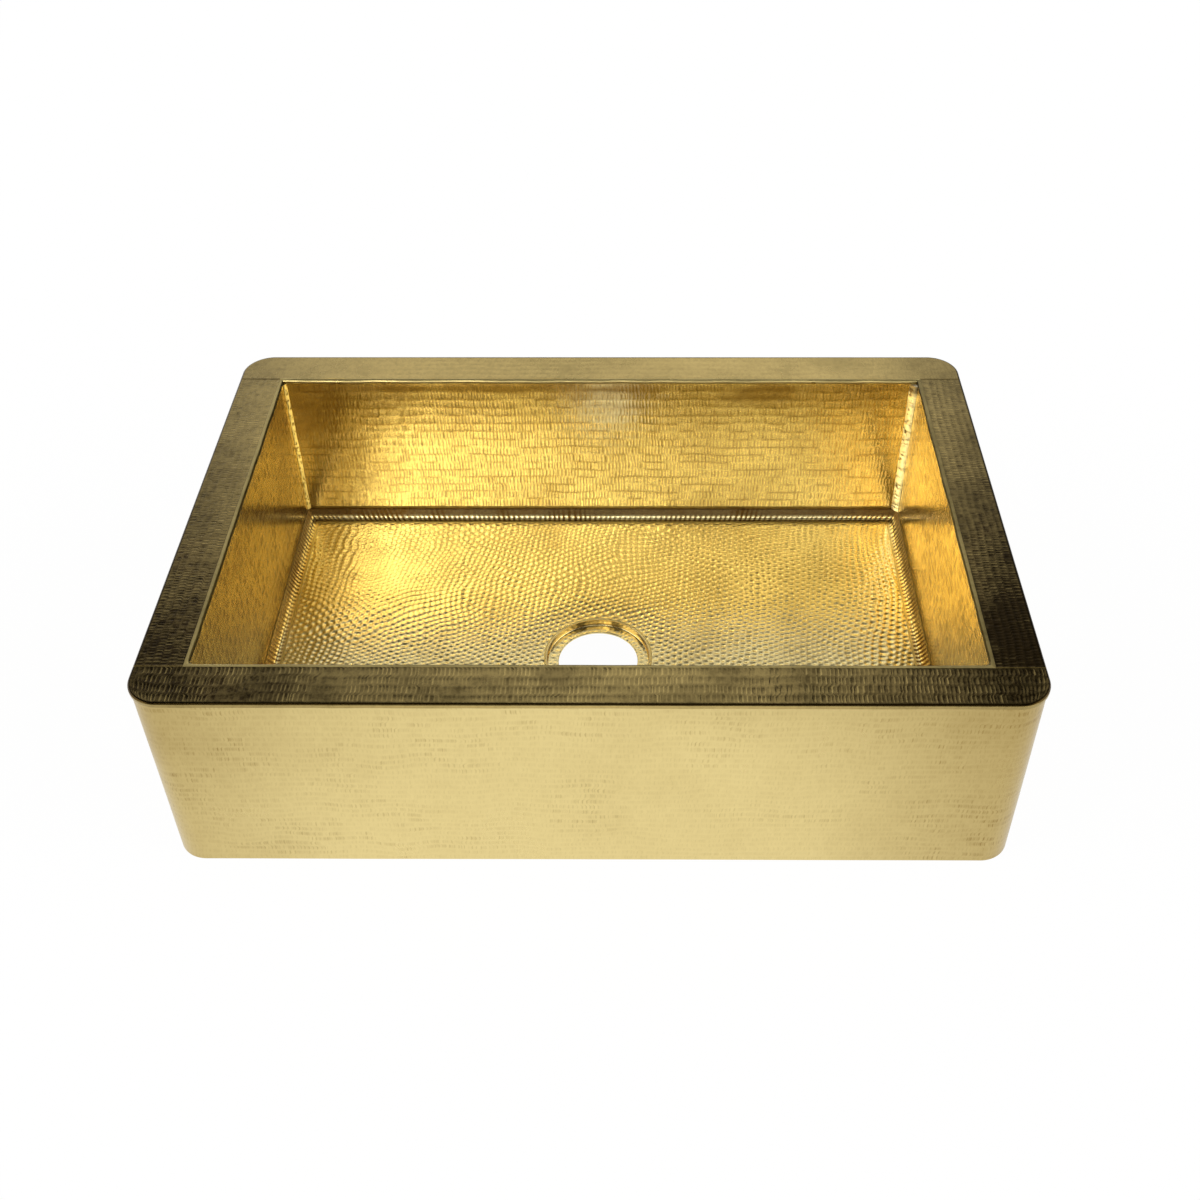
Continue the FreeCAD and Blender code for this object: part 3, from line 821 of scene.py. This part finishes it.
def make_mouth_beads():
    """Beads round the mouth, filed to a quarter-round that is never quite straight."""
    # Side, its heading and the way out, half its length, its distance from the middle, and whether its near
    # and far ends are rounded
    plans = (("front", (1, 0), (0, -1), MOUTH_X, MOUTH_Y, True, True),
             ("back", (1, 0), (0, 1), MOUTH_X, MOUTH_Y, False, False),
             ("left", (0, -1), (-1, 0), MOUTH_Y, MOUTH_X, False, True),
             ("right", (0, -1), (1, 0), MOUTH_Y, MOUTH_X, False, True))
    turn = np.radians(np.arange(0, 91, 15))
    for order, (side, heading, outward, half_length, distance, near_round, far_round) in enumerate(plans):
        size, flat = (1.7 * MM, 0.85) if side == "back" else (BEAD_ROUND, 0.0)
        inset = size * (1 - np.sin(turn)) * (1 - flat) + size * (1 - turn / turn[-1]) * flat
        drop = size * (1 - np.cos(turn)) * (1 - flat) + size * turn / turn[-1] * flat
        profile = np.vstack(([(BEAD, 0), (BEAD, BEAD)], np.column_stack((inset, BEAD - drop)), [(0, 0)]))
        inner, outer = bead_outline(near_round, far_round, half_length)
        bar = ribbed_bar("filed_mouth_bead_" + side, len(profile), (BEAD_RINGS - 2,))
        points = points_of(bar)
        ring = np.round(points[:, 2] * (BEAD_RINGS - 1)).astype(int)
        out, rise = profile[side_of(points, len(profile))].T
        share = (out / BEAD)[:, None]
        plan = inner[ring] * (1 - share) + outer[ring] * share
        waver = (noise_along(plan[:, 0], 24 * MM, 201 + order) - 0.5) * 0.9 * MM
        plan[:, 1] += waver * np.clip(1 - share[:, 0] * 1.3, 0, 1)
        worn = 0.25 * MM * noise_along(plan[:, 0], 31 * MM, 211 + order)
        z = BEAD_UNDERSIDE + rise - worn * (rise > BEAD / 2)
        across = plan[:, 1] + distance
        moved = np.outer(plan[:, 0], heading) + np.outer(across, outward)
        move_points(bar, np.column_stack((moved, z)))
        turn_faces_out(bar)
        # Painted shade: the inner face is painted dark but for the back one, which catches the light, and the
        # rest is painted darker by side, the right one most.
        face = (out < 0.7 * MM) & (side != "back")
        painted_shade = {"back": 0.0, "right": 0.5}.get(side, 0.33)
        keep_patina_and_shade(bar, np.where(face, 1.0, painted_shade + 0.2 * slow_noise(plan[:, 0], out, 40 * MM, 221 + order)))
        mount(bar, BEAD_BRASS, "dressed_weld", "mouth_bead_" + side)


def make_rim_seams():
    """Butt welds across the rim's corners, filed a little below the sheet, over the edge and down the lip."""
    top = WIDTH / 2 - LIP_ROUND - RIM_INNER_X
    bend = LIP_ROUND * math.pi / 2
    size = (top + bend + LIP_HEIGHT - LIP_ROUND, RIM_SEAM)
    for order, (corner, sign_x, sign_y) in enumerate(CORNERS):
        seam = flat_blank("filed_rim_seam_" + corner, size, 60, 4)
        points = points_of(seam)
        run = points[:, 0] + size[0] / 2
        sunk = 0.12 * MM + 0.14 * MM * slow_noise(run, points[:, 1], 5 * MM, 241 + order)
        angle = np.clip((run - top) / LIP_ROUND, 0, math.pi / 2)
        reach = LIP_ROUND - sunk
        x = RIM_INNER_X + np.minimum(run, top) + reach * np.sin(angle)
        z = HEIGHT - LIP_ROUND + reach * np.cos(angle) - np.maximum(run - top - bend, 0)
        y = RIM_INNER_Y - RIM_SEAM / 2 + points[:, 1]
        move_points(seam, np.column_stack((sign_x * x, sign_y * y, z)))
        if sign_x * sign_y < 0:
            take_up(seam)
            bpy.ops.object.mode_set(mode="EDIT")
            bpy.ops.mesh.select_all(action="SELECT")
            bpy.ops.mesh.flip_normals()
            bpy.ops.object.mode_set(mode="OBJECT")
        give_thickness(seam)
        keep_patina_and_shade(seam, np.full(len(seam.data.vertices), 0.8))
        mount(seam, SEAM_BRASS, "dressed_weld", "rim_seam_" + corner)


def make_shell_seams():
    """Upright welds that join the side sheets to the apron and the back, left as low rippled beads."""
    for order, (corner, sign_x, sign_y) in enumerate(CORNERS):
        bar = ribbed_bar("weld_shell_" + corner, 12, (80, 1))
        points = points_of(bar)
        front, across = unrolled(points)
        z = points[:, 2] * SHELL_TOP
        ripple = slow_noise(z, across * 2 * MM, 2.6 * MM, 261 + order)
        crown = np.sin(across * math.pi) * (0.35 + 0.45 * ripple) * MM
        x = np.where(front, SHELL_X + crown, SHELL_X - SHEET)
        y = SIDE_SEAM_Y - SHELL_SEAM + across * SHELL_SEAM
        move_points(bar, np.column_stack((sign_x * x, sign_y * y, z)))
        turn_faces_out(bar)
        keep_patina_and_shade(bar, np.where(front, 0.6 * (1 - ripple), 0))
        mount(bar, WELD_BRASS, "dressed_weld", "shell_seam_" + corner)


# ---------------- rim
def away_from_corner_centres(points):
    """Unit vectors pointing out of the rim's rounded outline, and how far each point is from their start."""
    beyond_x = np.sign(points[:, 0]) * np.maximum(np.abs(points[:, 0]) - CORNER_X, 0)
    beyond_y = np.sign(points[:, 1]) * np.maximum(np.abs(points[:, 1]) - CORNER_Y, 0)
    reach = np.maximum(np.hypot(beyond_x, beyond_y), 1e-9)
    return np.column_stack((beyond_x / reach, beyond_y / reach)), reach


def make_rim_strip(side, x_range, y_range, rows, depth, wax_and_shade, wear_and_highlight, ticks, seed):
    """Rim strip: hammered top, rounded outer corners and edge, and the lip turned down outside the shell."""
    marks_along_x = side in ("front", "back")
    size = (x_range[1] - x_range[0], y_range[1] - y_range[0])
    length, width = size if marks_along_x else size[::-1]
    marks = round(length / PEEN_MARK)
    cuts = (4, 5)
    columns, lines = (marks * cuts[0], rows * cuts[1]) if marks_along_x else (rows * cuts[1], marks * cuts[0])
    strip = flat_blank("hammered_rim_" + side, size, columns, lines)
    points = points_of(strip)
    along, across = (points[:, 0], points[:, 1]) if marks_along_x else (points[:, 1], points[:, 0])
    drift, sway, hollow, trough, ridge, dark = row_marks(
        along, across, (length, width), marks, rows, cuts, 0.5, seed)
    points[:, :2] += np.column_stack((drift, sway) if marks_along_x else (sway, drift))
    points += [(x_range[0] + x_range[1]) / 2, (y_range[0] + y_range[1]) / 2, HEIGHT]
    # Square corner of the grid to quarter disc
    inset = CORNER_RADIUS - LIP_ROUND
    u = np.maximum(np.abs(points[:, 0]) - CORNER_X, 0) / inset
    v = np.maximum(np.abs(points[:, 1]) - CORNER_Y, 0) / inset
    in_corner = (u > 0) & (v > 0)
    disc_u, disc_v = u * np.sqrt(1 - v * v / 2), v * np.sqrt(1 - u * u / 2)
    sign = np.sign(points)
    points[in_corner, 0] = (sign[:, 0] * (CORNER_X + disc_u * inset))[in_corner]
    points[in_corner, 1] = (sign[:, 1] * (CORNER_Y + disc_v * inset))[in_corner]
    outward, reach = away_from_corner_centres(points)
    to_edge = inset - reach
    patches = 0.5 + 0.8 * slow_noise(points[:, 0], points[:, 1], 55 * MM, seed + 5)
    fade = fade_in(to_edge, 3 * MM)
    points[:, 2] -= depth * (hollow * patches + TROUGH * trough) * fade
    points[:, 2] -= 0.6 * sheet_wave(points[:, 0], points[:, 1], seed + 7) * fade_in(to_edge, 25 * MM)
    move_points(strip, points)
    # Ridges kept bright: partly rubbed wear, partly painted highlight.
    worn_and_highlit_ridges = wear_and_highlight * ridge * fade_in(slow_noise(along, across, 30 * MM, seed + 8) - 0.15, 0.5)
    ticked = tick_patina(along, across, rows, width, hollow, 0, 0.6 * dark, 0.4, 0.3, seed + 9)
    patina_and_shade = wax_and_shade * (1 - worn_and_highlit_ridges) + ticks * ticked * fade
    # Draw the outer edge out and down, step by step: round the bend, then down the lip
    steps = [(inset + LIP_ROUND * math.sin(a), HEIGHT - LIP_ROUND * (1 - math.cos(a)))
             for a in (math.radians(18 * i) for i in range(1, 6))]
    steps += [(CORNER_RADIUS, HEIGHT - 3.8 * MM), (CORNER_RADIUS, HEIGHT - LIP_HEIGHT)]
    level, edge_reach = HEIGHT, inset
    for next_reach, next_level in steps:
        points = points_of(strip)
        outward, reach = away_from_corner_centres(points)
        pick_edges(strip, (np.abs(reach - edge_reach) < 0.05 * MM) & (points[:, 2] > level - 0.5 * MM)
                   & (points[:, 2] < level + NEAR))
        bpy.ops.mesh.extrude_edges_move(TRANSFORM_OT_translate={"value": (0, 0, next_level - level)})
        new = selected_points(strip)
        points = points_of(strip)
        outward, reach = away_from_corner_centres(points)
        points[new, :2] += outward[new] * (next_reach - edge_reach)
        points[new, 2] = next_level
        move_points(strip, points)
        level, edge_reach = next_level, next_reach
    # The lip isn't quite straight
    points = points_of(strip)
    outward, reach = away_from_corner_centres(points)
    low = fade_in(HEIGHT - points[:, 2], LIP_HEIGHT)
    dip = 0.45 * MM * slow_noise(points[:, 0], points[:, 1], 28 * MM, seed + 11) * low
    points[:, :2] -= outward * dip[:, None]
    move_points(strip, points)
    # Painted shade: the top of the rolled outer edge is painted dark.
    painted_edge_shade = fade_in(points[len(patina_and_shade):, 2] - (HEIGHT - 1.6 * MM), 1.2 * MM)
    keep_patina_and_shade(strip, np.append(patina_and_shade, painted_edge_shade))
    give_thickness(strip)
    mount(strip, RIM_BRASS, "row_hammered_brass", "rim_" + side)


def make_rim():
    """The front strip is struck hardest and rubbed brightest, its bright ridges partly wear and partly
    painted highlight, and the back one is nearly flat. The right strip takes more dark wax as painted shade.
    """
    out_x, out_y = WIDTH / 2 - LIP_ROUND, DEPTH / 2 - LIP_ROUND
    side_y = RIM_INNER_Y - RIM_SEAM
    # Rows of marks, depth of a hard blow, dark wax with painted shade (most on the right strip), how far it
    # is rubbed off the ridges as wear and painted highlight, dark ticks, seed
    make_rim_strip("front", (-out_x, out_x), (-out_y, -RIM_INNER_Y), 4, 0.4 * MM, 0.34, 0.9, 0.1, 101)
    make_rim_strip("back", (-out_x, out_x), (RIM_INNER_Y, out_y), 5, 0.08 * MM, 0.34, 0.1, 0.05, 111)
    make_rim_strip("left", (-out_x, -RIM_INNER_X), (-side_y, side_y), 6, 0.28 * MM, 0.36, 0.6, 0.15, 121)
    make_rim_strip("right", (RIM_INNER_X, out_x), (-side_y, side_y), 6, 0.28 * MM, 0.43, 0.6, 0.15, 131)


# ---------------- outer shell
def make_shell():
    """Apron and back sheet, each wrapped round two corners, and the side sheets between them."""
    wrap = 2 * (CORNER_X + SHELL_RADIUS * math.pi / 2 + CORNER_Y - SIDE_SEAM_Y)
    for name, node_name, turn, cuts, seed in (("hammered_apron", "front_apron", 1, (4, 3), 141),
                                              ("hammered_back_panel", "back_panel", -1, (3, 4), 151)):
        sheet = hammered_blank(name, (wrap, SHELL_TOP), cuts, seed, **SHELL)
        fold_round_corners(sheet, turn)
        mount(sheet, APRON_BRASS, "row_hammered_brass", node_name)
    length = 2 * (SIDE_SEAM_Y - SHELL_SEAM)
    for side, sign, heading, seed in (("left", -1, TO_FRONT, 161), ("right", 1, TO_BACK, 171)):
        panel = hammered_blank("hammered_side_" + side, (length, SHELL_TOP), (4, 4), seed, **SHELL)
        fold_upright(panel, (sign * SHELL_X, 0, SHELL_TOP / 2), heading)
        mount(panel, APRON_BRASS, "row_hammered_brass", "side_panel_" + side)


make_walls()
make_coves()
make_floor()
make_drain()
make_corner_welds()
make_mouth_beads()
make_rim()
make_rim_seams()
make_shell()
make_shell_seams()

# CAD nodes that stay as they are take their own finish.
for node_name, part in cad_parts.items():
    if part.hide_render:
        continue
    finish = {"cove_weld": SEAM_BRASS, "floor_weld": BEAD_BRASS}.get(node_name, PLAIN_BRASS)
    part.data.materials.clear()
    part.data.materials.append(finish)


# ---------------- stage
FLAT_WHITE_SHARE = 0.97     # how much of the floor is its own white: the rest is paint that takes shadow


def make_floor_stage():
    """Pale studio floor: mostly its own flat white to the camera, glossy and transmission rays, so that the
    metal mirrors the same white that the camera sees, with enough paint in it to take the shadow."""
    clear_selection()
    bpy.ops.mesh.primitive_plane_add(size=30)
    stage = named("studio_floor")
    paint = bpy.data.materials.new("matt_white_studio_floor")
    paint.use_nodes = True
    tree = paint.node_tree
    tree.nodes.clear()
    rays = node(tree, "LightPath").outputs
    camera_or_gloss = node(tree, "Math", {"operation": "MAXIMUM"},
                           i0=rays["Is Camera Ray"], i1=rays["Is Glossy Ray"])
    seen = node(tree, "Math", {"operation": "MAXIMUM"},
                i0=camera_or_gloss.outputs[0], i1=rays["Is Transmission Ray"])
    share = node(tree, "Math", {"operation": "MULTIPLY"}, i0=seen.outputs[0], i1=FLAT_WHITE_SHARE)
    matt = node(tree, "BsdfDiffuse", Color=linear("#F2F1EE"))
    white = node(tree, "Emission", Color=(1, 1, 1, 1), Strength=1.0)
    mixed = node(tree, "MixShader", i0=share.outputs[0], i1=matt.outputs[0], i2=white.outputs[0])
    out = node(tree, "OutputMaterial")
    tree.links.new(mixed.outputs[0], out.inputs["Surface"])
    stage.data.materials.append(paint)


def aim(azimuth, elevation):
    """Unit vector at an azimuth clockwise from +Y and an elevation, in degrees."""
    turn, rise = math.radians(azimuth), math.radians(elevation)
    return (math.sin(turn) * math.cos(rise), math.cos(turn) * math.cos(rise), math.sin(rise))


# The studio as the metal sees it: pale patches by azimuth clockwise from +Y, elevation and half-width in
# degrees, and brightness, where 1 is white. Worked out from where the photograph's metal is bright and
# where it is dark, but for the last one, straight overhead, which keeps the bowl from looking black from
# above.
STUDIO_PATCHES = (
    (60, 8, 16, 2.20), (90, 8, 16, 3.74), (120, 8, 16, 4.02), (150, 8, 16, 3.33), (240, 8, 16, 3.76),
    (270, 8, 16, 2.95), (300, 8, 16, 2.25), (330, 8, 16, 2.77), (20, 24, 12, 0.53), (60, 24, 12, 1.82),
    (80, 24, 12, 4.30), (100, 24, 12, 6.95), (120, 24, 12, 4.80), (180, 24, 12, 0.31), (220, 24, 12, 0.85),
    (240, 24, 12, 6.29), (260, 24, 12, 6.24), (280, 24, 12, 3.21), (300, 24, 12, 1.82), (340, 24, 12, 0.48),
    (6, 40, 13, 1.23), (78, 40, 13, 1.85), (102, 40, 13, 2.48), (126, 40, 13, 0.58), (162, 40, 9, 2.45),
    (174, 40, 9, 2.27), (198, 40, 9, 9.88), (234, 40, 9, 0.23), (246, 40, 9, 4.31), (270, 40, 13, 3.16),
    (342, 40, 13, 1.03), (195, 54, 10, 1.14), (18, 56, 15, 0.24), (54, 56, 15, 0.36), (0, 90, 15, 1.10),
)
PATCH_OUTER, PATCH_INNER = 1.15, 0.15   # where a patch starts and is full, as shares of its half-width
WHITE_BAND = (0.13, 0.24)               # sine of the elevation where the band starts to fade and ends


def make_world():
    """Studio round the sink: a white band low down that meets the floor, soft patches above it, and one
    overhead."""
    world = bpy.data.worlds.new("studio_with_softboxes")
    bpy.context.scene.world = world
    world.use_nodes = True
    tree = world.node_tree
    tree.nodes.clear()
    look = node(tree, "TexCoord").outputs["Generated"]
    up = node(tree, "SeparateXYZ", Vector=look).outputs["Z"]
    band = node(tree, "MapRange", SMOOTH, Value=up,
                From_Min=WHITE_BAND[0], From_Max=WHITE_BAND[1], To_Min=1.0, To_Max=0.0)
    total = band.outputs["Result"]
    for azimuth, elevation, half_width, brightness in STUDIO_PATCHES:
        towards = node(tree, "VectorMath", {"operation": "DOT_PRODUCT"}, i0=look, i1=aim(azimuth, elevation))
        patch = node(tree, "MapRange", SMOOTH, Value=towards.outputs["Value"],
                     From_Min=math.cos(math.radians(PATCH_OUTER * half_width)),
                     From_Max=math.cos(math.radians(PATCH_INNER * half_width)), To_Min=0.0, To_Max=brightness)
        total = node(tree, "Math", {"operation": "ADD"}, i0=total, i1=patch.outputs["Result"]).outputs[0]
    sky = node(tree, "Background", Color=(1, 1, 1, 1), Strength=total)
    out = node(tree, "OutputWorld")
    tree.links.new(sky.outputs[0], out.inputs["Surface"])


# The photograph's camera, solved from its edges: place in metres, pitch, yaw and roll in degrees, and the
# focal length and optical centre in pixels of a 1200 x 1200 picture
CAMERA_PLACE = (0.04618, -1.13234, 1.15867)
CAMERA_TURN = (41.291, -0.586, -0.317)
PICTURE = 1200
FOCAL_LENGTH = 1409.47
OPTICAL_CENTRE = (628.37, 552.38)


def make_camera():
    """A normal lens over a metre away, looking down at the bowl."""
    pitch, yaw, roll = (math.radians(angle) for angle in CAMERA_TURN)
    ahead = np.array([math.sin(yaw) * math.cos(pitch), math.cos(yaw) * math.cos(pitch), -math.sin(pitch)])
    level = np.array([math.cos(yaw), -math.sin(yaw), 0.0])
    upright = np.cross(level, ahead)
    right = math.cos(roll) * level + math.sin(roll) * upright
    up = -math.sin(roll) * level + math.cos(roll) * upright
    lens = bpy.data.cameras.new("photograph_view")
    lens.sensor_width = 36
    lens.lens = 36 * FOCAL_LENGTH / PICTURE
    lens.shift_x = (PICTURE / 2 - OPTICAL_CENTRE[0]) / PICTURE
    lens.shift_y = (OPTICAL_CENTRE[1] - PICTURE / 2) / PICTURE
    camera = bpy.data.objects.new("photograph_view", lens)
    bpy.context.scene.collection.objects.link(camera)
    rows = [[right[i], up[i], -ahead[i], CAMERA_PLACE[i]] for i in range(3)]
    camera.matrix_world = Matrix(rows + [[0, 0, 0, 1]])
    bpy.context.scene.camera = camera


make_floor_stage()
make_world()
make_camera()

bpy.context.scene.view_settings.view_transform = "Standard"
